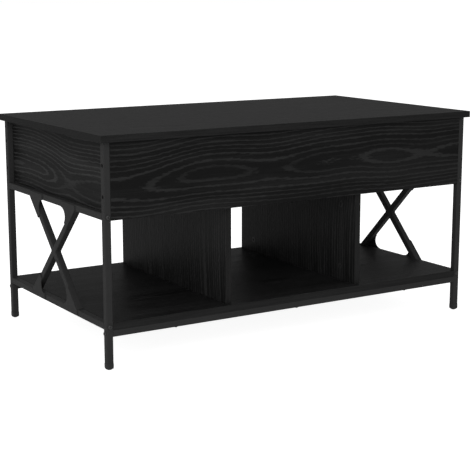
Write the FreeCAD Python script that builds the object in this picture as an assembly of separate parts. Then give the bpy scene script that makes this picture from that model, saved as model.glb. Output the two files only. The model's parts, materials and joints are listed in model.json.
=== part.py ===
import FreeCAD, Part
import math
import os

from FreeCAD import Placement, Rotation, Vector

# Lift top coffee table, in millimetres. +Z is up, the front faces -Y and the width runs along X.
# The origin is on the floor, under the middle of the table top.

# ---- driving dimensions ----
LENGTH = 1000.0
DEPTH = 550.0
HEIGHT = 500.0
BOARD = 15.0
BOARD_EDGE_RADIUS = 0.5
LID_GAP = 1.0

TUBE = 15.0
TUBE_WALL = 1.2
TUBE_RADIUS = 1.8
LEG_INSET = 10.0

SHELF_TOP = 102.0
BOX_FLOOR_TOP = 336.0
DIVIDER_X = 180.0

FOOT_WIDTH = 16.0
FOOT_HEIGHT = 14.0
FOOT_SOLE = 3.0
FOOT_DOME_RADIUS = 11.5
FOOT_FLAT_RADIUS = 3.5

GUSSET = 2.0
GUSSET_FILLET = 19.5
GUSSET_ON_RAIL = 13.0
BRACE_ANGLE = 45.0

BOLT_RADIUS = 3.0
BOLT_HEAD_RADIUS = 4.75
BOLT_HEAD_HEIGHT = 3.0
BOLT_ROUNDING = 1.8
BOLT_SOCKET_RADIUS = 2.3
BOLT_SOCKET_FLOOR = 1.0
BOLT_REACH = 25.0
NUT_LENGTH = 10.0
SCREW_RADIUS = 1.8
SCREW_HEAD_RADIUS = 3.6
SCREW_HEAD_HEIGHT = 2.2
SCREW_SLOT = (4.2, 0.9)
SCREW_SLOT_FLOOR = 0.9
SCREW_POINT = 4.5
SCREW_TIP_RADIUS = 0.2
LEG_SCREW_REACH = 22.0
LEG_SCREW_HEIGHTS = (371.0, 436.0)
DRIVER_HOLE_RADIUS = 4.0
SHELF_SCREW_X = (-320.0, 0.0, 320.0)
SHELF_SCREW_BITE = 11.0
PLUG_CAP = 2.0
PLUG_CAP_ROUNDING = 0.8
PLUG_STEM = 12.0
RIM_SEARCH = 0.1

CAM_RADIUS = 7.5
CAM_DEPTH = 12.0
CAM_EDGE = 34.0
CAM_BOLT_RADIUS = 2.8
CAM_BOLT_BITE = 8.0
CAM_SLOT = (9.0, 1.4)
CAM_SLOT_DEPTH = 1.5
DIVIDER_CAM_Y = 192.5
FLOOR_CAM_X = (-300.0, 0.0, 300.0)
SIDE_CAM_Z = 446.0
DOWEL_RADIUS = 4.0
DOWEL_LENGTH = 24.0
DIVIDER_DOWEL_Y = 90.0
SIDE_DOWEL_Z = 404.0
BUMPER_RADIUS = 4.0
BUMPER_GAP = 0.1
BUMPER_INSET = 60.0

# Lift mechanism, one on each side of the box. Heights and depths are pivots at rest, top closed.
ARM_LENGTH = 260.0
ARM_ANGLE = 12.0
ARM_TRAVEL = 98.0
ARM_HALF_WIDTH = 11.0
REAR_PIVOT = (-35.0, 361.0)
PIVOT_SPACING = 50.0
PIVOT_SPACING_ANGLE = 151.0
SPRING_LUG_REACH = 40.0
SPRING_LUG_ANGLE = 29.0
SPRING_LUG_HALF_WIDTH = 8.0
SPRING_LUG_TAPER = 6.0
SPRING_ANCHOR_Y = -235.0
SPRING_RADIUS = 8.5
SPRING_WIRE = 1.3
SPRING_LOOP_RADIUS = 4.8
SPRING_HOOK = 12.0
PIN_RADIUS = 4.0
PIN_CLEARANCE = 0.06
PIN_HEAD_RADIUS = 8.0
TOP_PIN_HEAD_RADIUS = 7.0
PIN_HEAD = 2.0
SPRING_PIN_RADIUS = 3.0
SPRING_PIN_HEAD_RADIUS = 5.0
SIDE_PLAY = 0.1
STOP_RADIUS = 4.0
STOP_CORE_RADIUS = 2.5
STOP_GAP = 0.3
STOP_REACH = 30.0

# Distances of the mechanism's layers from the side panel's inner face.
BASE_PLATE = (0.0, 3.0)
FRONT_ARM = (4.0, 7.0)
REAR_ARM = (10.0, 13.0)
TOP_PLATE = (14.0, 17.0)
SPRING_LAYER = 24.0
SPRING_PIN_END = 31.0
FLANGE_THICKNESS = 3.0
BASE_FLANGE_WIDTH = 24.0
TOP_FLANGE_WIDTH = 26.0
# Outlines are (depth, height above the box floor) and (depth, drop below the table top).
BASE_PLATE_OUTLINE = (
    (-246.0, 0.0), (-17.0, 0.0), (-17.0, 36.0), (-70.0, 68.0),
    (-88.0, 85.0), (-116.0, 85.0), (-130.0, 68.0), (-246.0, 68.0),
)
BASE_WINDOW_OUTLINE = ((-190.0, 28.0), (-150.0, 28.0), (-150.0, 48.0), (-190.0, 48.0))
TOP_PLATE_OUTLINE = (
    (-30.0, 0.0), (-30.0, 15.0), (140.0, 15.0), (160.0, 57.0),
    (208.0, 84.0), (228.0, 84.0), (240.0, 73.0), (240.0, 0.0),
)
BASE_PLATE_ROUNDING = 6.0
TOP_PLATE_ROUNDING = 5.0
BASE_FLANGE_LENGTH = 229.0
TOP_FLANGE_LENGTH = 270.0
BASE_SCREW_INSET = 11.0
TOP_SCREW_INSET = 13.0
TOP_SCREW_BITE = 10.0
BASE_PLATE_SCREWS = ((-222.0, 354.0), (-205.0, 394.0), (-135.0, 354.0), (-62.0, 351.0))
BASE_FLANGE_SCREWS = (-190.0, -95.0)
TOP_FLANGE_SCREWS = (-15.0, 60.0, 135.0, 215.0)

# ---- derived levels and places ----
TOP_UNDERSIDE = HEIGHT - BOARD
RIM = TOP_UNDERSIDE - LID_GAP
BOX_FLOOR_BOTTOM = BOX_FLOOR_TOP - BOARD
SHELF_BOTTOM = SHELF_TOP - BOARD
LEG_X = LENGTH / 2 - LEG_INSET - TUBE / 2
LEG_Y = DEPTH / 2 - LEG_INSET - TUBE / 2
BETWEEN_LEGS_X = LEG_X - TUBE / 2
BETWEEN_LEGS_Y = LEG_Y - TUBE / 2
LEG_FRONT = LEG_Y + TUBE / 2
SIDE_PANEL_INNER = BETWEEN_LEGS_X - BOARD
UPPER_RAIL_Z = BOX_FLOOR_BOTTOM + TUBE / 2
LOWER_RAIL_Z = SHELF_BOTTOM + TUBE / 2
SHELF_RAIL_Z = SHELF_BOTTOM - TUBE / 2
BRACE_CENTRE_Z = (SHELF_TOP + BOX_FLOOR_BOTTOM) / 2
SIDES = (("left", -1), ("right", 1))
ENDS = (("front", -1), ("back", 1))

X_AXIS = Vector(1, 0, 0)
Y_AXIS = Vector(0, 1, 0)
Z_AXIS = Vector(0, 0, 1)


# ---- general helpers ----
def export(name, shapes):
    """Writes one node, which is one solid or a group of separate solids."""
    shape = shapes[0] if len(shapes) == 1 else Part.makeCompound(shapes)
    shape.exportStep("parts/" + name + ".step")


def placed(shape, point, direction):
    """A copy whose own Z axis starts at the point and runs along the direction."""
    copy = shape.copy()
    copy.Placement = Placement(point, Rotation(Z_AXIS, direction)).multiply(shape.Placement)
    return copy


def mirrored(shape):
    """The same shape on the other side of the table."""
    return shape.mirror(Vector(0, 0, 0), X_AXIS)


def rod(start, direction, length, radius):
    return Part.makeCylinder(radius, length, start, direction)


def bored(shape, fillers):
    """The shape with room cut out for each filler that reaches it."""
    for filler in fillers:
        if shape.BoundBox.intersect(filler.BoundBox):
            shape = shape.cut(filler)
    return shape


def edges_along(shape, axis):
    """Straight edges of the shape that run along the axis."""
    found = []
    for edge in shape.Edges:
        span = edge.Vertexes[-1].Point.sub(edge.Vertexes[0].Point)
        if abs(abs(span.dot(axis)) - span.Length) < 1e-6:
            found.append(edge)
    return found


def rounded_bar(width, length, radius):
    """Bar of rounded square section, standing on the origin."""
    bar = Part.makeBox(width, width, length, Vector(-width / 2, -width / 2, 0))
    return bar.makeFillet(radius, edges_along(bar, Z_AXIS))


def tube(length):
    """Square steel tube, standing on the origin."""
    hollow = rounded_bar(TUBE - 2 * TUBE_WALL, length, TUBE_RADIUS - TUBE_WALL)
    return rounded_bar(TUBE, length, TUBE_RADIUS).cut(hollow)


def board(x_span, y_span, z_span):
    """Faced board with slightly rounded edges."""
    corner = Vector(x_span[0], y_span[0], z_span[0])
    size = [span[1] - span[0] for span in (x_span, y_span, z_span)]
    panel = Part.makeBox(size[0], size[1], size[2], corner)
    return panel.makeFillet(BOARD_EDGE_RADIUS, panel.Edges)


# ---- fasteners, each with its head on +Z and its shank along -Z ----
def button_bolt(reach):
    head = rod(Vector(0, 0, 0), Z_AXIS, BOLT_HEAD_HEIGHT, BOLT_HEAD_RADIUS)
    rim = [edge for edge in head.Edges if edge.BoundBox.ZMin > BOLT_HEAD_HEIGHT - RIM_SEARCH]
    head = head.makeFillet(BOLT_ROUNDING, rim)
    corners = []
    for degrees in range(0, 361, 60):
        angle = math.radians(degrees)
        x = BOLT_SOCKET_RADIUS * math.cos(angle)
        y = BOLT_SOCKET_RADIUS * math.sin(angle)
        corners.append(Vector(x, y, BOLT_SOCKET_FLOOR))
    socket = Part.Face(Part.makePolygon(corners)).extrude(Vector(0, 0, BOLT_HEAD_HEIGHT))
    return head.cut(socket).fuse(rod(Vector(0, 0, -reach), Z_AXIS, reach, BOLT_RADIUS)).removeSplitter()


def wood_screw(reach):
    head = rod(Vector(0, 0, 0), Z_AXIS, SCREW_HEAD_HEIGHT, SCREW_HEAD_RADIUS)
    rim = [edge for edge in head.Edges if edge.BoundBox.ZMin > SCREW_HEAD_HEIGHT - RIM_SEARCH]
    head = head.makeFillet(SCREW_HEAD_HEIGHT / 2, rim)
    slot_corner = Vector(-SCREW_SLOT[0] / 2, -SCREW_SLOT[1] / 2, SCREW_SLOT_FLOOR)
    for angle in (0, 90):
        slot = Part.makeBox(SCREW_SLOT[0], SCREW_SLOT[1], SCREW_HEAD_HEIGHT, slot_corner)
        slot.rotate(Vector(0, 0, 0), Z_AXIS, angle)
        head = head.cut(slot)
    shank = rod(Vector(0, 0, SCREW_POINT - reach), Z_AXIS, reach - SCREW_POINT, SCREW_RADIUS)
    point = Part.makeCone(SCREW_TIP_RADIUS, SCREW_RADIUS, SCREW_POINT, Vector(0, 0, -reach))
    return head.fuse([shank, point]).removeSplitter()


def cam_joint(face_point, face_normal, towards):
    """A cam lock sunk in a board's face, its plain pocket, and the bolt that runs into the next board."""
    into_board = face_normal * -1
    middle = face_point + into_board * (BOARD / 2)
    bolt_length = CAM_EDGE + CAM_BOLT_BITE - CAM_RADIUS / 2
    bolt = rod(middle + towards * (CAM_RADIUS / 2), towards, bolt_length, CAM_BOLT_RADIUS)
    pocket = rod(face_point, into_board, CAM_DEPTH, CAM_RADIUS)
    cam = pocket.cut(bolt)
    slot_corner = Vector(-CAM_SLOT[0] / 2, -CAM_SLOT[1] / 2, -CAM_SLOT_DEPTH)
    for turn in (0, 90):
        slot = Part.makeBox(CAM_SLOT[0], CAM_SLOT[1], 2 * CAM_SLOT_DEPTH, slot_corner)
        slot.rotate(Vector(0, 0, 0), Z_AXIS, turn)
        cam = cam.cut(placed(slot, face_point, face_normal))
    return cam, pocket, bolt


# ---- fasteners in their places ----
def frame_bolts_and_nuts():
    """Bolts through the legs into threaded blocks in the rails' ends."""
    bolt = button_bolt(BOLT_REACH)
    hollow = TUBE - 2 * TUBE_WALL
    nut = rounded_bar(hollow, NUT_LENGTH, TUBE_RADIUS - TUBE_WALL)
    nut = nut.cut(rod(Vector(0, 0, -1), Z_AXIS, NUT_LENGTH + 2, BOLT_RADIUS))
    bolts = []
    nuts = []
    for _, side in SIDES:
        for _, end in ENDS:
            for z in (UPPER_RAIL_Z, LOWER_RAIL_Z):
                outward = Vector(0, end, 0)
                bolts.append(placed(bolt, Vector(side * LEG_X, end * LEG_FRONT, z), outward))
                nuts.append(placed(nut, Vector(side * LEG_X, end * BETWEEN_LEGS_Y, z), outward * -1))
            outward = Vector(side, 0, 0)
            outer_face = Vector(side * (LEG_X + TUBE / 2), end * LEG_Y, SHELF_RAIL_Z)
            rail_end = Vector(side * BETWEEN_LEGS_X, end * LEG_Y, SHELF_RAIL_Z)
            bolts.append(placed(bolt, outer_face, outward))
            nuts.append(placed(nut, rail_end, outward * -1))
    return bolts, nuts


def leg_screws_and_access():
    """Screws from inside each leg into the front and back panels, and the access holes for the driver."""
    screws = []
    access = []
    seat = BETWEEN_LEGS_X + TUBE_WALL
    screw = wood_screw(LEG_SCREW_REACH)
    for _, side in SIDES:
        for _, end in ENDS:
            for z in LEG_SCREW_HEIGHTS:
                outward = Vector(side, 0, 0)
                seat_point = Vector(side * seat, end * LEG_Y, z)
                screws.append(placed(screw, seat_point, outward))
                hole_start = seat_point + outward * SCREW_HEAD_HEIGHT
                access.append(rod(hole_start, outward, TUBE, DRIVER_HOLE_RADIUS))
    return screws, access


def shelf_screws():
    """Screws up through the shelf rails into the shelf."""
    screws = []
    for _, end in ENDS:
        for x in SHELF_SCREW_X:
            head_seat = Vector(x, end * LEG_Y, SHELF_RAIL_Z - TUBE / 2)
            screws.append(placed(wood_screw(TUBE + SHELF_SCREW_BITE), head_seat, Z_AXIS * -1))
    return screws


def panel_joints():
    """Cam locks with their bolts, and plain dowels, between the boards."""
    joints = []
    dowels = []
    down = Z_AXIS * -1
    for _, side in SIDES:
        to_middle = Vector(-side, 0, 0)
        divider_face = side * (DIVIDER_X - BOARD / 2)
        for _, end in ENDS:
            outward = Vector(0, end, 0)
            y = end * DIVIDER_CAM_Y
            lower_cam = Vector(divider_face, y, SHELF_TOP + CAM_EDGE)
            upper_cam = Vector(divider_face, y, BOX_FLOOR_BOTTOM - CAM_EDGE)
            joints.append(cam_joint(lower_cam, to_middle, down))
            joints.append(cam_joint(upper_cam, to_middle, Z_AXIS))
            side_cam = Vector(side * SIDE_PANEL_INNER, end * (BETWEEN_LEGS_Y - CAM_EDGE), SIDE_CAM_Z)
            joints.append(cam_joint(side_cam, to_middle, outward))
            for z in (SHELF_TOP, BOX_FLOOR_BOTTOM):
                foot = Vector(side * DIVIDER_X, end * DIVIDER_DOWEL_Y, z - DOWEL_LENGTH / 2)
                dowels.append(rod(foot, Z_AXIS, DOWEL_LENGTH, DOWEL_RADIUS))
            joint_face = Vector(side * (SIDE_PANEL_INNER + BOARD / 2), end * BETWEEN_LEGS_Y, SIDE_DOWEL_Z)
            start = joint_face - outward * (DOWEL_LENGTH / 2)
            dowels.append(rod(start, outward, DOWEL_LENGTH, DOWEL_RADIUS))
    for _, end in ENDS:
        outward = Vector(0, end, 0)
        for x in FLOOR_CAM_X:
            cam_point = Vector(x, end * (BETWEEN_LEGS_Y - CAM_EDGE), BOX_FLOOR_BOTTOM)
            joints.append(cam_joint(cam_point, down, outward))
    cams, pockets, bolts = (list(shapes) for shapes in zip(*joints))
    return cams, pockets, bolts, dowels


# ---- boards ----
def build_boards(fillers):
    """Every board, bored for its fasteners."""
    full_x = (-BETWEEN_LEGS_X, BETWEEN_LEGS_X)
    inner_y = (-BETWEEN_LEGS_Y, BETWEEN_LEGS_Y)
    boards = {
        "table_top": board((-LENGTH / 2, LENGTH / 2), (-DEPTH / 2, DEPTH / 2), (TOP_UNDERSIDE, HEIGHT)),
        "shelf_board": board(full_x, (-LEG_FRONT, LEG_FRONT), (SHELF_BOTTOM, SHELF_TOP)),
        "box_floor": board(full_x, inner_y, (BOX_FLOOR_BOTTOM, BOX_FLOOR_TOP)),
        "front_panel": board(full_x, (-LEG_FRONT, -BETWEEN_LEGS_Y), (BOX_FLOOR_BOTTOM, RIM)),
        "back_panel": board(full_x, (BETWEEN_LEGS_Y, LEG_FRONT), (BOX_FLOOR_BOTTOM, RIM)),
    }
    for name, side in SIDES:
        panel_x = sorted((side * SIDE_PANEL_INNER, side * BETWEEN_LEGS_X))
        boards[name + "_side_panel"] = board(panel_x, inner_y, (BOX_FLOOR_TOP, RIM))
        divider_x = (side * DIVIDER_X - BOARD / 2, side * DIVIDER_X + BOARD / 2)
        boards[name + "_divider"] = board(divider_x, inner_y, (SHELF_TOP, BOX_FLOOR_BOTTOM))
    return {name: bored(shape, fillers) for name, shape in boards.items()}


# ---- steel frame ----
def foot():
    """Plastic cap with a domed sole, pushed on a leg's end."""
    cap = rounded_bar(FOOT_WIDTH, FOOT_HEIGHT, TUBE_RADIUS + 0.5)
    dome_centre = math.sqrt(FOOT_DOME_RADIUS**2 - FOOT_FLAT_RADIUS**2)
    cap = cap.common(Part.makeSphere(FOOT_DOME_RADIUS, Vector(0, 0, dome_centre)))
    pocket = rounded_bar(TUBE, FOOT_HEIGHT, TUBE_RADIUS)
    pocket.translate(Vector(0, 0, FOOT_SOLE))
    return cap.cut(pocket)


def leg_plug():
    """Plastic plug that closes a leg's upper end."""
    cap = rounded_bar(TUBE, PLUG_CAP, TUBE_RADIUS)
    rim = [edge for edge in cap.Edges if edge.BoundBox.ZMin > PLUG_CAP - RIM_SEARCH]
    cap = cap.makeFillet(PLUG_CAP_ROUNDING, rim)
    stem = rounded_bar(TUBE - 2 * TUBE_WALL, PLUG_STEM, TUBE_RADIUS - TUBE_WALL)
    stem.translate(Vector(0, 0, -PLUG_STEM))
    plug = cap.fuse(stem).removeSplitter()
    plug.translate(Vector(0, 0, RIM - PLUG_CAP))
    return plug


def brace_bars():
    """The two crossing tubes of one side, as one through tube and two halves, in the plane x = 0."""
    reach = 2.0 * BRACE_CENTRE_Z
    gap_corner = Vector(-TUBE, -reach, SHELF_TOP)
    gap = Part.makeBox(2 * TUBE, 2 * reach, BOX_FLOOR_BOTTOM - SHELF_TOP, gap_corner)
    bars = []
    envelopes = []
    for lean in (-1, 1):
        direction = Vector(0, lean, 1)
        direction.normalize()
        start = Vector(0, 0, BRACE_CENTRE_Z) - direction * reach
        bars.append(placed(tube(2 * reach), start, direction).common(gap))
        envelopes.append(placed(rounded_bar(TUBE, 2 * reach, TUBE_RADIUS), start, direction))
    through = bars[1]
    halves = bars[0].cut(envelopes[1]).Solids
    return through, halves


def gusset_plate(y_sign, z_sign):
    """Thin plate over a brace's end, with a hollow fillet in the corner between brace and rail."""
    half_gap = (BOX_FLOOR_BOTTOM - SHELF_TOP) / 2
    corner_y = half_gap - TUBE / 2 * math.sqrt(2)
    tangent = GUSSET_FILLET / math.tan(math.radians(BRACE_ANGLE / 2))
    across = TUBE / math.sqrt(2)
    diagonal = tangent / math.sqrt(2)
    from_centre = math.hypot(tangent, GUSSET_FILLET)
    arc_middle = 1 - GUSSET_FILLET / from_centre

    def at(inward, off_rail):
        z = BRACE_CENTRE_Z + z_sign * (half_gap - off_rail)
        return Vector(0, y_sign * (corner_y - inward), z)

    on_rail_inner = at(tangent, -GUSSET_ON_RAIL)
    on_rail_outer = at(-2 * across, -GUSSET_ON_RAIL)
    rail_edge = at(tangent, 0)
    bar_inner = at(diagonal, diagonal)
    bar_outer = at(diagonal - across, diagonal + across)
    outer_corner = at(-2 * across, 0)
    fillet_middle = at(tangent * arc_middle, GUSSET_FILLET * arc_middle)
    fillet = Part.Arc(rail_edge, fillet_middle, bar_inner).toShape()
    outline = Part.Wire([
        Part.makeLine(on_rail_outer, on_rail_inner),
        Part.makeLine(on_rail_inner, rail_edge),
        fillet,
        Part.makeLine(bar_inner, bar_outer),
        Part.makeLine(bar_outer, outer_corner),
        Part.makeLine(outer_corner, on_rail_outer),
    ])
    return Part.Face(outline).extrude(Vector(-GUSSET, 0, 0))


def build_frame(bolts, fillers, access):
    """Legs, rails and braces, with their holes, and the plastic feet and plugs."""
    nodes = {}
    plugs = []
    leg_length = RIM - 2.0 - FOOT_SOLE
    for end_name, end in ENDS:
        for side_name, side in SIDES:
            place = Vector(side * LEG_X, end * LEG_Y, 0)
            leg = placed(tube(leg_length), place + Vector(0, 0, FOOT_SOLE), Z_AXIS)
            corner = end_name + "_" + side_name
            nodes[corner + "_leg"] = [bored(leg, fillers + access)]
            nodes[corner + "_foot"] = [placed(foot(), place, Z_AXIS)]
            plugs.append(placed(leg_plug(), place, Z_AXIS))
        rail_start = Vector(-BETWEEN_LEGS_X, end * LEG_Y, SHELF_RAIL_Z)
        rail = placed(tube(2 * BETWEEN_LEGS_X), rail_start, X_AXIS)
        nodes[end_name + "_shelf_rail"] = [bored(rail, fillers)]
    nodes["leg_plugs"] = plugs

    through, halves = brace_bars()
    plates = [gusset_plate(y_sign, z_sign) for y_sign in (-1, 1) for z_sign in (-1, 1)]
    for side_name, side in SIDES:
        half_turn = Placement(Vector(0, 0, 0), Rotation(Z_AXIS, 0 if side < 0 else 180))
        for level, z in (("upper", UPPER_RAIL_Z), ("lower", LOWER_RAIL_Z)):
            rail = placed(tube(2 * BETWEEN_LEGS_Y), Vector(side * LEG_X, -BETWEEN_LEGS_Y, z), Y_AXIS)
            nodes[side_name + "_" + level + "_rail"] = [bored(rail, bolts)]
        groups = {"_brace_bar": [through], "_brace_halves": halves, "_gusset_plates": plates}
        for suffix, shapes in groups.items():
            layer = -LEG_X - TUBE / 2 if shapes is plates else -LEG_X
            nodes[side_name + suffix] = []
            for shape in shapes:
                piece = shape.copy()
                piece.translate(Vector(layer, 0, 0))
                piece.Placement = half_turn.multiply(piece.Placement)
                nodes[side_name + suffix].append(piece)
    return nodes


# ---- lift mechanism, modelled on the left side ----
def layer_point(layer, yz):
    """A point at a depth and height, the given distance inwards from the left side panel."""
    return Vector(layer - SIDE_PANEL_INNER, yz[0], yz[1])


def polar(origin, reach, degrees):
    angle = math.radians(degrees)
    return origin[0] + reach * math.cos(angle), origin[1] + reach * math.sin(angle)


def layer_rod(yz, start, end, radius):
    return rod(layer_point(start, yz), X_AXIS, end - start, radius)


def sheet_plate(outline, span):
    """Flat plate: its outline in depth and height, and its layer's span."""
    corners = [layer_point(span[0], yz) for yz in outline]
    return Part.Face(Part.makePolygon(corners + corners[:1])).extrude(Vector(span[1] - span[0], 0, 0))


def link_plate(first, second, radii, span):
    """Flat bar with a round end about each of two points."""
    reach = math.hypot(second[0] - first[0], second[1] - first[1])
    heading = math.degrees(math.atan2(second[1] - first[1], second[0] - first[0]))
    lean = math.degrees(math.acos((radii[0] - radii[1]) / reach))
    sides = []
    for sign in (1, -1):
        sides.append(polar(first, radii[0], heading + sign * lean))
        sides.append(polar(second, radii[1], heading + sign * lean))
    middle = sheet_plate((sides[0], sides[1], sides[3], sides[2]), span)
    ends = [layer_rod(first, span[0], span[1], radii[0]), layer_rod(second, span[0], span[1], radii[1])]
    return middle.fuse(ends)


def rivet(yz, start, end, radius, head_radius, heads):
    """A pin between two layers, with a low round head at one or both ends."""
    shapes = []
    if "outer" in heads:
        shapes.append(layer_rod(yz, start - PIN_HEAD, start, head_radius))
    if "inner" in heads:
        shapes.append(layer_rod(yz, end, end + PIN_HEAD, head_radius))
    return layer_rod(yz, start, end, radius).fuse(shapes).removeSplitter()


def washer(yz, start, end, outer_radius):
    return layer_rod(yz, start, end, outer_radius).cut(layer_rod(yz, start, end, PIN_RADIUS))


def arm(base, tip, span):
    """One swinging arm, with a running hole at each end."""
    plate = link_plate(base, tip, (ARM_HALF_WIDTH, ARM_HALF_WIDTH), span)
    return plate, [layer_rod(yz, span[0], span[1], PIN_RADIUS + PIN_CLEARANCE) for yz in (base, tip)]


def build_mechanism():
    """Every piece of the left mechanism, by name."""
    rear_base = REAR_PIVOT
    front_base = polar(rear_base, PIVOT_SPACING, PIVOT_SPACING_ANGLE)
    rear_tip = polar(rear_base, ARM_LENGTH, ARM_ANGLE)
    front_tip = polar(front_base, ARM_LENGTH, ARM_ANGLE)
    lug = polar(rear_base, SPRING_LUG_REACH, ARM_ANGLE + SPRING_LUG_ANGLE)
    anchor = (SPRING_ANCHOR_Y, lug[1])
    raised = ARM_ANGLE + ARM_TRAVEL
    stop_foot = polar(front_base, STOP_REACH, raised)
    stop = polar(stop_foot, ARM_HALF_WIDTH + STOP_RADIUS + STOP_GAP, raised + 90)
    pieces = {}

    # Base bracket, an angle screwed to the side panel and the box floor.
    floor = BOX_FLOOR_TOP
    outline = [(y, floor + rise) for y, rise in BASE_PLATE_OUTLINE]
    plate = sheet_plate(outline, BASE_PLATE)
    upper = [edge for edge in edges_along(plate, X_AXIS) if edge.BoundBox.ZMin > floor + 1]
    plate = plate.makeFillet(BASE_PLATE_ROUNDING, upper)
    flange_corner = layer_point(BASE_PLATE[0], outline[0])
    flange = Part.makeBox(BASE_FLANGE_WIDTH, BASE_FLANGE_LENGTH, FLANGE_THICKNESS, flange_corner)
    window = sheet_plate([(y, floor + rise) for y, rise in BASE_WINDOW_OUTLINE], BASE_PLATE)
    window = window.makeFillet(BASE_PLATE_ROUNDING, edges_along(window, X_AXIS))
    bracket = plate.fuse(flange).removeSplitter().cut(window)

    base_pins = [
        rivet(rear_base, 0.0, REAR_ARM[1] + SIDE_PLAY, PIN_RADIUS, PIN_HEAD_RADIUS, ("inner",)),
        rivet(front_base, 0.0, FRONT_ARM[1] + SIDE_PLAY, PIN_RADIUS, PIN_HEAD_RADIUS, ("inner",)),
        rivet(stop, 0.0, FRONT_ARM[1] + SIDE_PLAY, STOP_CORE_RADIUS, STOP_RADIUS, ("inner",)),
        rivet(anchor, 0.0, SPRING_PIN_END, SPRING_PIN_RADIUS, SPRING_PIN_HEAD_RADIUS, ("inner",)),
    ]
    base_washers = [
        washer(rear_base, BASE_PLATE[1], REAR_ARM[0] - SIDE_PLAY, PIN_HEAD_RADIUS),
        washer(front_base, BASE_PLATE[1], FRONT_ARM[0] - SIDE_PLAY, PIN_HEAD_RADIUS),
    ]
    sleeve = layer_rod(stop, BASE_PLATE[1], FRONT_ARM[1] + SIDE_PLAY, STOP_RADIUS)
    pieces["stop_sleeve"] = [sleeve.cut(base_pins[2])]

    screw = wood_screw(BOARD)
    base_screws = [placed(screw, layer_point(BASE_PLATE[1], yz), X_AXIS) for yz in BASE_PLATE_SCREWS]
    for y in BASE_FLANGE_SCREWS:
        seat = layer_point(BASE_PLATE[1] + BASE_SCREW_INSET, (y, floor + FLANGE_THICKNESS))
        base_screws.append(placed(screw, seat, Z_AXIS))
    pieces["base_bracket"] = [bored(bracket, base_pins + base_screws)]
    pieces["base_pins"] = base_pins
    pieces["base_washers"] = base_washers
    pieces["base_screws"] = base_screws

    # Arms. The rear one carries the spring's lug on an ear.
    plate, holes = arm(front_base, front_tip, FRONT_ARM)
    pieces["front_arm"] = [bored(plate, holes).removeSplitter()]
    plate, holes = arm(rear_base, rear_tip, REAR_ARM)
    beyond_lug = polar(rear_base, 2.0 * SPRING_LUG_REACH, ARM_ANGLE)
    ears = [
        link_plate(rear_base, lug, (ARM_HALF_WIDTH, SPRING_LUG_HALF_WIDTH), REAR_ARM),
        link_plate(lug, beyond_lug, (SPRING_LUG_HALF_WIDTH, SPRING_LUG_TAPER), REAR_ARM),
    ]
    start = REAR_ARM[0]
    spring_pin = rivet(lug, start, SPRING_PIN_END, SPRING_PIN_RADIUS, SPRING_PIN_HEAD_RADIUS, ("inner",))
    pieces["rear_arm"] = [bored(plate.fuse(ears), holes + [spring_pin]).removeSplitter()]
    pieces["spring_pin"] = [spring_pin]

    # Spring: an even barrel with a loop at each end.
    barrel_start = SPRING_ANCHOR_Y + SPRING_HOOK
    barrel_end = lug[0] - SPRING_HOOK
    barrel_foot = layer_point(SPRING_LAYER, (barrel_start, lug[1]))
    barrel = rod(barrel_foot, Y_AXIS, barrel_end - barrel_start, SPRING_RADIUS)
    parts = []
    for centre, sign in ((anchor, 1), (lug, -1)):
        middle = layer_point(SPRING_LAYER, centre)
        parts.append(Part.makeTorus(SPRING_LOOP_RADIUS, SPRING_WIRE, middle, X_AXIS))
        hook_start = middle + Vector(0, sign * SPRING_LOOP_RADIUS, 0)
        parts.append(rod(hook_start, Vector(0, sign, 0), SPRING_HOOK - SPRING_LOOP_RADIUS + 1, SPRING_WIRE))
    pieces["lift_spring"] = [barrel.fuse(parts).removeSplitter()]

    # Top bracket, an angle screwed under the table top.
    under = TOP_UNDERSIDE
    outline = [(y, under - drop) for y, drop in TOP_PLATE_OUTLINE]
    plate = sheet_plate(outline, TOP_PLATE)
    lower = [edge for edge in edges_along(plate, X_AXIS) if edge.BoundBox.ZMax < under - 1]
    plate = plate.makeFillet(TOP_PLATE_ROUNDING, lower)
    flange_corner = layer_point(TOP_PLATE[0], (outline[0][0], under - FLANGE_THICKNESS))
    flange = Part.makeBox(TOP_FLANGE_WIDTH, TOP_FLANGE_LENGTH, FLANGE_THICKNESS, flange_corner)
    bracket = plate.fuse(flange).removeSplitter()
    top_pins = []
    for tip, layer in ((rear_tip, REAR_ARM), (front_tip, FRONT_ARM)):
        start = layer[0] - SIDE_PLAY
        heads = ("outer", "inner")
        top_pins.append(rivet(tip, start, TOP_PLATE[1], PIN_RADIUS, TOP_PIN_HEAD_RADIUS, heads))
    screw = wood_screw(FLANGE_THICKNESS + TOP_SCREW_BITE)
    top_screws = []
    for y in TOP_FLANGE_SCREWS:
        seat = layer_point(TOP_PLATE[1] + TOP_SCREW_INSET, (y, under - FLANGE_THICKNESS))
        top_screws.append(placed(screw, seat, Z_AXIS * -1))
    pieces["top_bracket"] = [bored(bracket, top_pins + top_screws)]
    pieces["top_pins"] = top_pins
    pieces["top_washers"] = [
        washer(rear_tip, REAR_ARM[1] + SIDE_PLAY, TOP_PLATE[0], PIN_HEAD_RADIUS),
        washer(front_tip, FRONT_ARM[1] + SIDE_PLAY, TOP_PLATE[0], TOP_PIN_HEAD_RADIUS),
    ]
    pieces["top_screws"] = top_screws
    return pieces


def lid_bumpers():
    """Thin rubber pads on the box's rim, under the closed top."""
    pads = []
    thickness = LID_GAP - BUMPER_GAP
    for x in (BUMPER_INSET - LEG_X, 0.0, LEG_X - BUMPER_INSET):
        for _, end in ENDS:
            place = Vector(x, end * LEG_Y, RIM)
            pads.append(rod(place, Z_AXIS, thickness, BUMPER_RADIUS))
    return pads


# ---- the whole table ----
os.makedirs("parts", exist_ok=True)

frame_bolts, end_nuts = frame_bolts_and_nuts()
leg_screws, access_holes = leg_screws_and_access()
rail_screws = shelf_screws()
cam_locks, cam_pockets, cam_bolts, dowels = panel_joints()
mechanism = build_mechanism()

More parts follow.
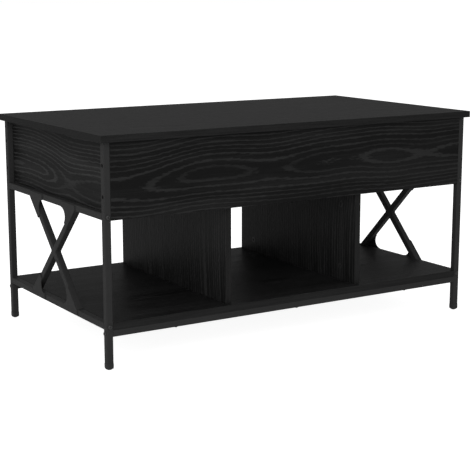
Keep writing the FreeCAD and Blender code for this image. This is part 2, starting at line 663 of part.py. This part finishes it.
# Pieces that both mechanisms share as one node, and pieces with a node on each side.
SHARED = {
    "stop_sleeve": "stop_sleeves",
    "base_washers": "base_washers",
    "base_screws": "base_bracket_screws",
    "top_washers": "top_washers",
    "top_screws": "top_bracket_screws",
}
shared_nodes = {}
for piece_name, shapes in mechanism.items():
    other_side = [mirrored(shape) for shape in shapes]
    if piece_name in SHARED:
        shared_nodes[SHARED[piece_name]] = shapes + other_side
    else:
        export("left_" + piece_name, shapes)
        export("right_" + piece_name, other_side)
for node, shapes in shared_nodes.items():
    export(node, shapes)

screws_in_boards = shared_nodes["base_bracket_screws"] + shared_nodes["top_bracket_screws"]
board_fillers = leg_screws + rail_screws + cam_pockets + cam_bolts + dowels + screws_in_boards
for node, shape in build_boards(board_fillers).items():
    export(node, [shape])

tube_fillers = frame_bolts + leg_screws + rail_screws
for node, shapes in build_frame(frame_bolts, tube_fillers, access_holes).items():
    export(node, shapes)

export("frame_bolts", frame_bolts)
export("rail_end_nuts", end_nuts)
export("leg_screws", leg_screws)
export("shelf_screws", rail_screws)
export("cam_locks", cam_locks)
export("cam_bolts", cam_bolts)
export("wood_dowels", dowels)
export("lid_bumpers", lid_bumpers())
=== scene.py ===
"""Lift top coffee table in black oak board and black powder coated tube.

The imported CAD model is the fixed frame. This script gives every node its finish, makes the coil
springs and the weld beads that the CAD model leaves plain, and sets up a pale studio and a camera.
Lengths are in metres, and greys are linear.
"""

import json
import math
from collections import namedtuple

import bmesh
import bpy
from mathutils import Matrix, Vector


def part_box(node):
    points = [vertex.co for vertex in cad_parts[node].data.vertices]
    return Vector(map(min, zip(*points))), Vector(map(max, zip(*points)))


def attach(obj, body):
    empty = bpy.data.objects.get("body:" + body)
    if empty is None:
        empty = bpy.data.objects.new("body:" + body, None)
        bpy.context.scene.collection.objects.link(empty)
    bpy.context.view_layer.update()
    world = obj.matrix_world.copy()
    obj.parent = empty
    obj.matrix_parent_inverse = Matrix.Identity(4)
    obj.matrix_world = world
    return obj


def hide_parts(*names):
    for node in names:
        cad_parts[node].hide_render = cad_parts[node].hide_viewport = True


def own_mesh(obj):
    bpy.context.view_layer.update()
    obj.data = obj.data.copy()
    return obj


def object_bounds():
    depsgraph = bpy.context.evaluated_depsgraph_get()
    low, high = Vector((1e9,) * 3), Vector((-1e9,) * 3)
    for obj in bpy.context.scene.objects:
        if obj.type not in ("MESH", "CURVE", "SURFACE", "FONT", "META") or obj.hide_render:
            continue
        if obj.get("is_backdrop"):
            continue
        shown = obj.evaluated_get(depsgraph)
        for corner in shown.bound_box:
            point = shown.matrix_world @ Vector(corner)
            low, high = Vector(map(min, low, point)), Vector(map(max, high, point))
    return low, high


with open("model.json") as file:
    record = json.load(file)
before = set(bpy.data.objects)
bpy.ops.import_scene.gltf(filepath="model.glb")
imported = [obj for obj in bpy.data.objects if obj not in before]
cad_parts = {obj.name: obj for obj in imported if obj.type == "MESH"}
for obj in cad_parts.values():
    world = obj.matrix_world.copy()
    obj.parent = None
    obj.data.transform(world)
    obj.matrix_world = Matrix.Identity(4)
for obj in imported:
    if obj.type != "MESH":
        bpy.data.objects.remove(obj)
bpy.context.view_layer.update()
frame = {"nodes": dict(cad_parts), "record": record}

AXES = {"x": 0, "y": 1, "z": 2}
SIDES = ("left", "right")

# Where the camera stands, from the middle of the object, and where it looks.
CAMERA_DISTANCE = 3.079
CAMERA_AZIMUTH = math.radians(32.25)
CAMERA_ELEVATION = math.radians(10.12)
CAMERA_HEADING = math.radians(32.16)
CAMERA_DIP = math.radians(11.07)
CAMERA_LENS = 96.1

# Soft boxes: where each stands, what it faces, its width and its power in watts.
SOFT_BOXES = {
    "key_light": ((-2.6, -2.7, 1.7), (0, 0, 0.25), 2.4, 60.0),
    "top_light": ((0.2, 0.2, 3.2), (0, 0, 0), 3.0, 24.0),
}

# The surround's strength at the horizon and overhead, and the floor with the light that it gives
# off, to the object and to the camera.
SKY_LOW = 0.18
SKY_HIGH = 0.60
FLOOR_REACH = 60.0
FLOOR_GREY = 0.60
FLOOR_GLOW = 0.20
FLOOR_GLOW_SEEN = 0.92

# Grain of the boards: a board shows a pale line wherever a growth ring of the log comes out.
# RING_LINE is (place in the ring, paleness), and FAINTEST_RING the faintest line beside the palest.
RING_SPACING = 0.0088
RING_LINE = ((0.0, 0.0), (0.56, 0.0), (0.70, 1.0), (0.85, 1.0), (0.95, 0.0))
FAINTEST_RING = 0.55
# How many rings the lines wander by, over what reach, and how ragged they are.
RING_IRREGULARITY = 1.9
RING_IRREGULARITY_REACH = 0.028
RAGGEDNESS = 0.55
# How far the rings spread from a heart before they turn back to the next one across a wide board,
# and how far a heart may wander to a side.
HEART_REACH = 0.13
HEART_WANDER = 0.030
# How deep under the board's face a heart lies at the two noise values in DEPTH_NOISE.
DEPTH_LOW = 0.002
DEPTH_HIGH = 0.066
DEPTH_NOISE = (0.25, 0.75)

# The size of each pattern in a board: along the grain, across it, and through the board.
WANDER_SIZE = (0.300, 0.90, 0.90)
DEPTH_SIZE = (0.320, 0.70, 0.70)
RAGGED_SIZE = (0.016, 0.0030, 0.0030)
FIBRE_SIZE = (0.120, 0.0022, 0.0022)
PORE_SIZE = (0.009, 0.0006, 0.0006)
BAND_SIZE = (0.420, 0.034, 0.034)

# What each pattern adds to a board's tone, from 0 for dark to 1 for pale. Fibres and pores are
# (noise value, tone), and the pores' tone is taken away.
EDGING_TONE = 0.28
BAND_TONE = 0.22
BAND_NOISE = (0.35, 0.65)
FIBRE_TONE = ((0.35, 0.0), (0.70, 0.30))
PORE_TONE = ((0.60, 0.0), (0.70, 0.22))

# Each board has the axis that its grain runs along, the axis across it, where the heart lies as a
# share of its width from its middle, how much figure there is, how pale its lines are, its sheen,
# and the place in the noise that its grain is cut from, so that no two boards repeat.
Board = namedtuple("Board", "along across heart figure pale specular offset")
BOARDS = {
    "table_top": Board("x", "y", 0.10, 0.8, 0.034, 0.019, (0.0, 0.0, 0.0)),
    "shelf_board": Board("x", "y", -0.20, 0.8, 0.034, 0.042, (3.1, 1.7, 2.3)),
    "box_floor": Board("x", "y", 0.15, 0.8, 0.029, 0.030, (6.2, 3.4, 4.6)),
    "front_panel": Board("x", "z", 0.0, 0.72, 0.027, 0.037, (18.6, 10.1, 19.9)),
    "back_panel": Board("x", "z", 0.1, 0.8, 0.029, 0.030, (12.4, 6.8, 9.2)),
    "left_side_panel": Board("y", "z", -0.26, 0.8, 0.042, 0.030, (28.1, 23.9, 29.7)),
    "right_side_panel": Board("y", "z", -0.20, 0.8, 0.042, 0.030, (20.1, 10.2, 13.8)),
    "left_divider": Board("z", "y", 0.22, 0.3, 0.029, 0.060, (21.7, 11.9, 16.1)),
    "right_divider": Board("z", "y", 0.25, 0.3, 0.031, 0.060, (24.8, 13.6, 18.4)),
}

# Greys and colours of the finishes. A shade is a share of a finish's base grey.
BOARD_DARK = 0.0092
# The grey that the boards' edges are lightened to: partly edge wear, partly a painted highlight
# where a rounded edge catches light.
BOARD_WEAR_AND_HIGHLIGHT = 0.060
COAT_DARK = 0.028
COAT_PALE = 0.035
COAT_WORN = 0.055
PAINT_WORN = 0.14
PLASTIC_SHADES = (0.85, 1.15)
METAL_SHADES = (0.82, 1.0)
PAINT_SHADES = (0.8, 1.1)
BEECH_DARK = (0.50, 0.33, 0.18, 1.0)
BEECH_PALE = (0.62, 0.44, 0.27, 1.0)
BEECH_FLECK = (0.32, 0.18, 0.09, 1.0)

# Worn edges: the cosine between the rounded and the true normal, where wear is full and where it
# starts, and the samples that round the normal.
WORN_COSINE = 0.80
UNWORN_COSINE = 0.995
WORN_SAMPLES = 4

# Coil springs of the lift mechanism: the radius of the wire and of the loop round each pin, how far
# the pin is from the spring's end, and how far the coil starts from the pin.
SPRING_WIRE = 0.0011
SPRING_LOOP = 0.0053
SPRING_END = 0.0061
SPRING_HOOK = 0.012
SPRING_TURNS = 55
SPRING_STEPS = 16
SPRING_LOOP_TURN = math.radians(300)
SPRING_LOOP_STEPS = 24

# Weld beads of the frame, which has tubes as wide as TUBE: the beads' radius, a ripple's length and
# height as a share of it, how thin they start, how fast they thicken, and how far their middle
# stands off a face.
TUBE = 0.015
BEAD_RADIUS = 0.0019
BEAD_PITCH = 0.0024
BEAD_RIPPLE = 0.14
BEAD_RIPPLE_STEPS = 4
BEAD_END = 0.35
BEAD_TAPER = 4.0
BEAD_REST = 0.0006

# Sides of a round bar's section.
BAR_SIDES = 8


# ---------------------------------------------------------------- node helpers


class Finish:
    """A material's node tree, with short calls for the nodes that the finishes share."""

    def __init__(self, name):
        self.material = bpy.data.materials.new(name)
        self.material.use_nodes = True
        self.tree = self.material.node_tree
        self.shader = self.tree.nodes["Principled BSDF"]
        place = self.tree.nodes.new("ShaderNodeTexCoord")
        self.place = place.outputs["Object"]
        self.normal = place.outputs["Normal"]

    def put(self, socket, value):
        """Links value to socket if it is another node's output, and sets it otherwise."""
        if isinstance(value, bpy.types.NodeSocket):
            self.tree.links.new(value, socket)
        else:
            socket.default_value = value

    def set(self, **values):
        """Sets the shader's own sockets: base_color=... is the socket Base Color."""
        sockets = {s.name.lower().replace(" ", "_"): s for s in self.shader.inputs}
        for name, value in values.items():
            self.put(sockets[name], value)

    def math(self, operation, first, second=0.0):
        node = self.tree.nodes.new("ShaderNodeMath")
        node.operation = operation
        self.put(node.inputs[0], first)
        self.put(node.inputs[1], second)
        return node.outputs[0]

    def noise(self, vector, scale, detail=2.0, roughness=0.5):
        node = self.tree.nodes.new("ShaderNodeTexNoise")
        self.put(node.inputs["Vector"], vector)
        self.put(node.inputs["Scale"], scale)
        self.put(node.inputs["Detail"], detail)
        self.put(node.inputs["Roughness"], roughness)
        return node.outputs["Fac"]

    def stretched(self, sizes, offset=(0.0, 0.0, 0.0)):
        """The point in the row frame, divided by a size along each axis and moved by offset."""
        node = self.tree.nodes.new("ShaderNodeMapping")
        self.put(node.inputs["Vector"], self.place)
        self.put(node.inputs["Scale"], [1.0 / size for size in sizes])
        self.put(node.inputs["Location"], offset)
        return node.outputs["Vector"]

    def axis(self, vector, letter):
        node = self.tree.nodes.new("ShaderNodeSeparateXYZ")
        self.put(node.inputs[0], vector)
        return node.outputs[AXES[letter]]

    def combine(self, x, y, z):
        node = self.tree.nodes.new("ShaderNodeCombineXYZ")
        for socket, value in zip(node.inputs, (x, y, z)):
            self.put(socket, value)
        return node.outputs[0]

    def random(self, value):
        """A random number from 0 to 1, the same for the same value."""
        node = self.tree.nodes.new("ShaderNodeTexWhiteNoise")
        node.noise_dimensions = "1D"
        self.put(node.inputs["W"], value)
        return node.outputs["Value"]

    def ramp(self, factor, *stops):
        """A grey ramp: each stop is (place, value)."""
        node = self.tree.nodes.new("ShaderNodeValToRGB")
        colours = node.color_ramp.elements
        while len(colours) < len(stops):
            colours.new(0.5)
        for element, (place, value) in zip(colours, stops):
            element.position = place
            element.color = (value, value, value, 1.0)
        self.put(node.inputs["Fac"], factor)
        return node.outputs["Color"]

    def blend(self, factor, first, second):
        node = self.tree.nodes.new("ShaderNodeMix")
        node.data_type = "RGBA"
        self.put(node.inputs["Factor"], factor)
        self.put(node.inputs["A"], first)
        self.put(node.inputs["B"], second)
        return node.outputs["Result"]

    def spread(self, factor, low, high, source=(0.0, 1.0)):
        """Turns factor, over the range source, into low to high."""
        node = self.tree.nodes.new("ShaderNodeMapRange")
        self.put(node.inputs["Value"], factor)
        self.put(node.inputs["From Min"], source[0])
        self.put(node.inputs["From Max"], source[1])
        self.put(node.inputs["To Min"], low)
        self.put(node.inputs["To Max"], high)
        return node.outputs["Result"]

    def bump(self, height, distance, strength):
        node = self.tree.nodes.new("ShaderNodeBump")
        self.put(node.inputs["Height"], height)
        self.put(node.inputs["Distance"], distance)
        self.put(node.inputs["Strength"], strength)
        self.put(self.shader.inputs["Normal"], node.outputs["Normal"])

    def worn_edges(self, width, wear):
        """The edges within width as a mask up to wear, and 0 on flat faces: edge wear, and on the
        boards a painted highlight too.
        """
        bevel = self.tree.nodes.new("ShaderNodeBevel")
        bevel.samples = WORN_SAMPLES
        bevel.inputs["Radius"].default_value = width
        flat = self.tree.nodes.new("ShaderNodeNewGeometry")
        dot = self.tree.nodes.new("ShaderNodeVectorMath")
        dot.operation = "DOT_PRODUCT"
        self.put(dot.inputs[0], bevel.outputs["Normal"])
        self.put(dot.inputs[1], flat.outputs["Normal"])
        edges = self.ramp(dot.outputs["Value"], (WORN_COSINE, 1.0), (UNWORN_COSINE, 0.0))
        return self.math("MULTIPLY", edges, wear)


def grey(value, warmth=0.0):
    """A neutral colour, a little warmer in red and cooler in blue by warmth."""
    return (value * (1.0 + warmth), value, value * (1.0 - warmth), 1.0)


def greys(base, shades, warmth=0.0):
    """The two greys that a base grey and a pair of shades give."""
    return [grey(base * shade, warmth) for shade in shades]


# ---------------------------------------------------------------- finishes


def board_noise(finish, board, size, detail=2.0):
    """Noise that follows the board's grain, with the size that its pattern has."""
    along, across, through = size
    lengths = [through, through, through]
    lengths[AXES[board.along]] = along
    lengths[AXES[board.across]] = across
    return finish.noise(finish.stretched(lengths, board.offset), scale=1.0, detail=detail)


def ring_lines(finish, node, board):
    """The pale lines of the log's rings on a board that was cut along the log's length.

    They come out as straight lines at the board's sides and as pointed and closed figures over the
    heart, long and wide for a figure of 1 and close to straight for 0.
    """
    low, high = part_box(node)
    width = (high - low)[AXES[board.across]]
    middle = (low + high)[AXES[board.across]] / 2

    wander = board_noise(finish, board, WANDER_SIZE, detail=0.0)
    wander = finish.math("SUBTRACT", wander, 0.5)
    place = finish.axis(finish.place, board.across)
    place = finish.math("SUBTRACT", place, middle + board.heart * width)
    place = finish.math("ADD", place, finish.math("MULTIPLY", wander, HEART_WANDER * 2))
    place = finish.math("PINGPONG", place, HEART_REACH)
    depth = board_noise(finish, board, DEPTH_SIZE, detail=0.9)
    depth = finish.spread(depth, DEPTH_LOW, DEPTH_HIGH * board.figure, source=DEPTH_NOISE)
    place_squared = finish.math("MULTIPLY", place, place)
    depth_squared = finish.math("MULTIPLY", depth, depth)
    radius = finish.math("SQRT", finish.math("ADD", place_squared, depth_squared))

    growth = finish.math("MULTIPLY", radius, 1.0 / RING_IRREGULARITY_REACH)
    growth = finish.combine(growth, board.offset[0], board.offset[1])
    growth = finish.noise(growth, scale=1.0, detail=1.0)
    growth = finish.math("MULTIPLY", growth, RING_IRREGULARITY)
    ragged = board_noise(finish, board, RAGGED_SIZE)
    ragged = finish.math("MULTIPLY", ragged, RAGGEDNESS)
    rings = finish.math("MULTIPLY", radius, 1.0 / RING_SPACING)
    rings = finish.math("ADD", finish.math("ADD", rings, growth), ragged)
    line = finish.ramp(finish.math("FRACT", rings), *RING_LINE)
    year = finish.random(finish.math("FLOOR", rings))
    return finish.math("MULTIPLY", line, finish.spread(year, FAINTEST_RING, 1.0))


def board_finish(node, board):
    """Black oak board: rings, slow bands, fibres and pores on its faces, plain edging, and edges
    lightened partly as wear and partly as a painted highlight.
    """
    finish = Finish(f"black_oak_{node}")
    through = (set(AXES) - {board.along, board.across}).pop()
    face = finish.axis(finish.normal, through)
    face = finish.math("ROUND", finish.math("ABSOLUTE", face))

    rings = finish.math("MULTIPLY", ring_lines(finish, node, board), face)
    edging = finish.spread(face, EDGING_TONE, 0.0)
    fibres = finish.ramp(board_noise(finish, board, FIBRE_SIZE), *FIBRE_TONE)
    pores = finish.ramp(board_noise(finish, board, PORE_SIZE, detail=1.0), *PORE_TONE)
    bands = board_noise(finish, board, BAND_SIZE)
    bands = finish.spread(bands, -BAND_TONE, BAND_TONE, source=BAND_NOISE)
    tone = finish.math("ADD", finish.math("ADD", rings, edging), fibres)
    tone = finish.math("SUBTRACT", tone, pores)
    tone = finish.math("ADD", tone, finish.math("MULTIPLY", bands, face))

    colour = finish.blend(tone, grey(BOARD_DARK), grey(board.pale))
    # Edges lightened partly as wear and partly as a painted highlight of the rounded edge catching
    # light.
    worn = finish.worn_edges(width=0.0007, wear=0.45)
    finish.set(
        base_color=finish.blend(worn, colour, grey(BOARD_WEAR_AND_HIGHLIGHT)),
        roughness=finish.spread(tone, low=0.38, high=0.56),
        specular_ior_level=board.specular,
    )
    finish.bump(tone, distance=0.00026, strength=0.8)
    return finish.material


def powder_coat_finish():
    """Matt black powder coat: a fine orange peel, a slow drift in tone, paler at worn edges."""
    finish = Finish("powder_coat_finish")
    peel = finish.noise(finish.place, scale=900.0, detail=1.0)
    drift = finish.noise(finish.place, scale=14.0, detail=3.0)
    colour = finish.blend(drift, grey(COAT_DARK), grey(COAT_PALE))
    worn = finish.worn_edges(width=0.0008, wear=0.5)
    finish.set(
        base_color=finish.blend(worn, colour, grey(COAT_WORN)),
        roughness=finish.spread(peel, low=0.46, high=0.62),
        specular_ior_level=0.08,
    )
    finish.bump(peel, distance=0.00006, strength=0.5)
    return finish.material


def plastic_finish(name, base):
    """Moulded matt plastic with a fine spark-eroded texture."""
    finish = Finish(name)
    spark = finish.noise(finish.place, scale=1800.0)
    drift = finish.noise(finish.place, scale=60.0)
    finish.set(
        base_color=finish.blend(drift, *greys(base, PLASTIC_SHADES)),
        roughness=finish.spread(spark, low=0.50, high=0.68),
        specular_ior_level=0.3,
    )
    finish.bump(spark, distance=0.00003, strength=0.6)
    return finish.material


def metal_finish(name, base, smooth, rough, warmth=0.0):
    """Bright metal with fine handling marks: smooth and rough are its range of roughness."""
    finish = Finish(name)
    cloud = finish.noise(finish.place, scale=120.0, detail=4.0, roughness=0.6)
    scratch = finish.noise(finish.place, scale=2400.0)
    finish.set(
        base_color=finish.blend(cloud, *greys(base, METAL_SHADES, warmth)),
        metallic=1.0,
        roughness=finish.spread(cloud, smooth, rough),
    )
    finish.bump(scratch, distance=0.00001, strength=0.5)
    return finish.material


def painted_finish(name, base):
    """Thin satin black paint on pressed steel, rubbed paler at its edges."""
    finish = Finish(name)
    cloud = finish.noise(finish.place, scale=45.0, detail=4.0, roughness=0.6)
    fine = finish.noise(finish.place, scale=1500.0, detail=1.0)
    colour = finish.blend(cloud, *greys(base, PAINT_SHADES))
    worn = finish.worn_edges(width=0.0006, wear=0.6)
    finish.set(
        base_color=finish.blend(worn, colour, grey(PAINT_WORN)),
        roughness=finish.spread(cloud, low=0.34, high=0.50),
        specular_ior_level=0.5,
    )
    finish.bump(fine, distance=0.00002, strength=0.4)
    return finish.material


def beech_finish():
    """Plain beech: warm, with short dark flecks and faint long grain."""
    finish = Finish("beech_finish")
    fleck = finish.noise(finish.stretched((0.0012, 0.0012, 0.0060)), scale=1.0)
    wave = finish.noise(finish.stretched((0.0030, 0.0030, 0.0300)), scale=1.0)
    plain = finish.blend(wave, BEECH_DARK, BEECH_PALE)
    flecks = finish.ramp(fleck, (0.25, 0.6), (0.45, 0.0))
    finish.set(
        base_color=finish.blend(flecks, plain, BEECH_FLECK),
        roughness=finish.spread(fleck, low=0.55, high=0.72),
    )
    finish.bump(fleck, distance=0.00005, strength=0.5)
    return finish.material


def slot_finishes():
    """One finish for each of the record's slots, apart from the boards'."""
    return {
        "powder_coat": powder_coat_finish(),
        "black_plastic": plastic_finish("black_plastic_finish", base=0.022),
        "black_rubber": plastic_finish("black_rubber_finish", base=0.030),
        "black_fastener": painted_finish("black_fastener_finish", base=0.026),
        "cam_zinc": plastic_finish("cam_zinc_finish", base=0.020),
        "mechanism_steel": painted_finish("mechanism_steel_finish", base=0.040),
        "zinc_steel": metal_finish(
            "zinc_steel_finish", base=0.62, smooth=0.28, rough=0.42, warmth=0.02
        ),
        "spring_steel": metal_finish("spring_steel_finish", base=0.48, smooth=0.22, rough=0.34),
        "beech_dowel": beech_finish(),
    }


def finish_nodes(finishes):
    """Gives every CAD node its finish: a board has its own, and the rest have their slot's."""
    slots = {part["node"]: part["material_slot"] for part in frame["record"]["subparts"]}
    for node, piece in frame["nodes"].items():
        if node in BOARDS:
            material = board_finish(node, BOARDS[node])
        else:
            material = finishes[slots[node]]
        for holder in piece.material_slots:
            holder.material = material


# ---------------------------------------------------------------- new pieces


def mesh_piece(name, shape, material, body):
    """Makes a smooth shaded piece from a bmesh, riding on a body."""
    bmesh.ops.recalc_face_normals(shape, faces=shape.faces)
    mesh = bpy.data.meshes.new(name)
    shape.to_mesh(mesh)
    shape.free()
    for polygon in mesh.polygons:
        polygon.use_smooth = True
    mesh.materials.append(material)
    piece = bpy.data.objects.new(name, mesh)
    bpy.context.scene.collection.objects.link(piece)
    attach(piece, body)
    return piece


def sweep(shape, path, radii):
    """A round bar with closed ends, with a radius for each point of its path, and no twist."""
    ahead = (path[1] - path[0]).normalized()
    across = ahead.orthogonal().normalized()
    rings = []
    for index, (point, radius) in enumerate(zip(path, radii)):
        before = path[max(index - 1, 0)]
        after = path[min(index + 1, len(path) - 1)]
        ahead = (after - before).normalized()
        across = (across - ahead * across.dot(ahead)).normalized()
        other = ahead.cross(across)
        ring = []
        for side in range(BAR_SIDES):
            turn = 2 * math.pi * side / BAR_SIDES
            outward = across * math.cos(turn) + other * math.sin(turn)
            ring.append(shape.verts.new(point + outward * radius))
        rings.append(ring)

    for first, second in zip(rings, rings[1:]):
        for side in range(BAR_SIDES):
            beside = (side + 1) % BAR_SIDES
            shape.faces.new((first[side], first[beside], second[beside], second[side]))
    shape.faces.new(rings[0])
    shape.faces.new(rings[-1])


def bead(shape, start, end):
    """A weld bead from start to end: a rippled ridge, thin at both ends."""
    along = end - start
    ripples = max(2, round(along.length / BEAD_PITCH))
    steps = ripples * BEAD_RIPPLE_STEPS
    path = []
    radii = []
    for step in range(steps + 1):
        share = step / steps
        ripple = 1.0 - BEAD_RIPPLE + BEAD_RIPPLE * abs(math.sin(math.pi * share * ripples))
        taper = min(1.0, BEAD_END + BEAD_TAPER * min(share, 1.0 - share))
        path.append(start + along * share)
        radii.append(BEAD_RADIUS * ripple * taper)
    sweep(shape, path, radii)


def weld_lines(side):
    """Where a side's weld beads start and end."""
    plate_low, plate_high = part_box(f"{side}_gusset_plates")
    bar_low, bar_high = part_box(f"{side}_brace_bar")
    rail_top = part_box(f"{side}_lower_rail")[1].z
    rail_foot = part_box(f"{side}_upper_rail")[0].z
    if side == "right":
        outward, outer, inner = 1, bar_high.x, bar_low.x
    else:
        outward, outer, inner = -1, bar_low.x, bar_high.x

    lines = []
    # Where the gusset plates' ends lie on the rails.
    x = outer + outward * BEAD_REST
    for end in (plate_low.y - BEAD_REST, plate_high.y + BEAD_REST):
        lines.append((Vector((x, end, rail_foot)), Vector((x, end, plate_high.z))))
        lines.append((Vector((x, end, plate_low.z)), Vector((x, end, rail_top))))
    # In the four corners where the bars cross.
    middle = (rail_top + rail_foot) / 2
    half = TUBE * math.sqrt(2) / 2
    for y, z in ((half, 0), (-half, 0), (0, half), (0, -half)):
        lines.append((Vector((inner, y, middle + z)), Vector((outer, y, middle + z))))
    # On both sides of each bar's two feet.
    reach = (rail_foot - rail_top) / 2
    for y in (reach - half, reach + half, -reach - half, -reach + half):
        for z in (rail_top + BEAD_REST, rail_foot - BEAD_REST):
            lines.append((Vector((inner, y, z)), Vector((outer, y, z))))
    return lines


def build_welds(finishes):
    """Weld beads round the cross braces: at the gusset plates, the bars' feet and the crossing."""
    for side in SIDES:
        shape = bmesh.new()
        for start, end in weld_lines(side):
            bead(shape, start, end)
        mesh_piece(f"{side}_weld_beads", shape, finishes["powder_coat"], "frame")


def spring_path(low, high):
    """The wire's centreline: a loop round each pin, a neck to the coil, and the coil between."""
    middle = (low + high) / 2
    coil = (high.x - low.x) / 2 - SPRING_WIRE
    back_pin = Vector((middle.x, low.y + SPRING_END, middle.z))
    front_pin = Vector((middle.x, high.y - SPRING_END, middle.z))
    start = back_pin.y + SPRING_HOOK
    end = front_pin.y - SPRING_HOOK

    path = []
    for step in range(SPRING_LOOP_STEPS + 1):
        turn = SPRING_LOOP_TURN * (1 - step / SPRING_LOOP_STEPS)
        path.append(back_pin + Vector((0, math.cos(turn), math.sin(turn))) * SPRING_LOOP)
    coil_steps = SPRING_TURNS * SPRING_STEPS
    for step in range(coil_steps + 1):
        turn = 2 * math.pi * step / SPRING_STEPS
        x = middle.x + coil * math.sin(turn)
        y = start + (end - start) * step / coil_steps
        z = middle.z + coil * math.cos(turn)
        path.append(Vector((x, y, z)))
    for step in range(SPRING_LOOP_STEPS + 1):
        turn = math.pi + SPRING_LOOP_TURN * step / SPRING_LOOP_STEPS
        path.append(front_pin + Vector((0, math.cos(turn), math.sin(turn))) * SPRING_LOOP)
    return path


def build_springs(finishes):
    """The two coil springs, in place of the CAD model's plain ones."""
    for side in SIDES:
        node = f"{side}_lift_spring"
        low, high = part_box(node)
        path = spring_path(low, high)
        shape = bmesh.new()
        sweep(shape, path, [SPRING_WIRE] * len(path))
        spring = mesh_piece(
            f"{side}_coil_spring", shape, finishes["spring_steel"], "frame"
        )
        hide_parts(node)
        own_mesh(spring)


# ---------------------------------------------------------------- studio


def build_floor():
    """A plain pale floor that gives off a little light, so that shadows stay faint."""
    shape = bmesh.new()
    bmesh.ops.create_grid(shape, x_segments=1, y_segments=1, size=FLOOR_REACH)
    mesh = bpy.data.meshes.new("studio_floor")
    shape.to_mesh(mesh)
    shape.free()
    finish = Finish("studio_floor_finish")
    path = finish.tree.nodes.new("ShaderNodeLightPath")
    seen = path.outputs["Is Camera Ray"]
    finish.set(
        base_color=grey(FLOOR_GREY),
        roughness=0.9,
        specular_ior_level=0.0,
        emission_color=grey(1.0),
        emission_strength=finish.spread(seen, FLOOR_GLOW, FLOOR_GLOW_SEEN),
    )
    mesh.materials.append(finish.material)
    floor = bpy.data.objects.new("studio_floor", mesh)
    bpy.context.scene.collection.objects.link(floor)
    floor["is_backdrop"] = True


def build_light(name, place, aim, size, power):
    """A square soft box at place, facing aim, that the camera doesn't see."""
    lamp = bpy.data.lights.new(name, "AREA")
    lamp.shape = "SQUARE"
    lamp.size = size
    lamp.energy = power
    holder = bpy.data.objects.new(name, lamp)
    bpy.context.scene.collection.objects.link(holder)
    holder.location = place
    holder.rotation_euler = (Vector(aim) - Vector(place)).to_track_quat("-Z", "Y").to_euler()
    holder.visible_camera = False


def build_sky():
    """An even studio surround: dim at the horizon, brighter overhead, plain white to the camera."""
    world = bpy.data.worlds.new("studio_surround")
    bpy.context.scene.world = world
    world.use_nodes = True
    tree = world.node_tree
    tree.nodes.clear()
    place = tree.nodes.new("ShaderNodeTexCoord")
    split = tree.nodes.new("ShaderNodeSeparateXYZ")
    height = tree.nodes.new("ShaderNodeMapRange")
    soft = tree.nodes.new("ShaderNodeBackground")
    plain = tree.nodes.new("ShaderNodeBackground")
    path = tree.nodes.new("ShaderNodeLightPath")
    choice = tree.nodes.new("ShaderNodeMixShader")
    result = tree.nodes.new("ShaderNodeOutputWorld")
    height.inputs["To Min"].default_value = SKY_LOW
    height.inputs["To Max"].default_value = SKY_HIGH
    soft.inputs["Color"].default_value = grey(1.0)
    plain.inputs["Color"].default_value = grey(1.0)
    links = tree.links
    links.new(place.outputs["Generated"], split.inputs[0])
    links.new(split.outputs[AXES["z"]], height.inputs["Value"])
    links.new(height.outputs["Result"], soft.inputs["Strength"])
    links.new(path.outputs["Is Camera Ray"], choice.inputs[0])
    links.new(soft.outputs[0], choice.inputs[1])
    links.new(plain.outputs[0], choice.inputs[2])
    links.new(choice.outputs[0], result.inputs["Surface"])


def build_camera():
    """The camera stands to the left of the front, a little above the top."""
    low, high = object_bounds()
    middle = (low + high) / 2
    level = math.cos(CAMERA_ELEVATION)
    away = Vector((
        -math.sin(CAMERA_AZIMUTH) * level,
        -math.cos(CAMERA_AZIMUTH) * level,
        math.sin(CAMERA_ELEVATION),
    ))
    lens = bpy.data.cameras.new("camera")
    lens.lens = CAMERA_LENS
    camera = bpy.data.objects.new("camera", lens)
    bpy.context.scene.collection.objects.link(camera)
    camera.location = middle + away * CAMERA_DISTANCE
    camera.rotation_euler = (math.pi / 2 - CAMERA_DIP, 0.0, -CAMERA_HEADING)
    bpy.context.scene.camera = camera


def build_studio():
    build_floor()
    for name, choices in SOFT_BOXES.items():
        build_light(name, *choices)
    build_sky()
    build_camera()
    bpy.context.scene.view_settings.view_transform = "Standard"


build_studio()
finishes = slot_finishes()
finish_nodes(finishes)
build_springs(finishes)
build_welds(finishes)
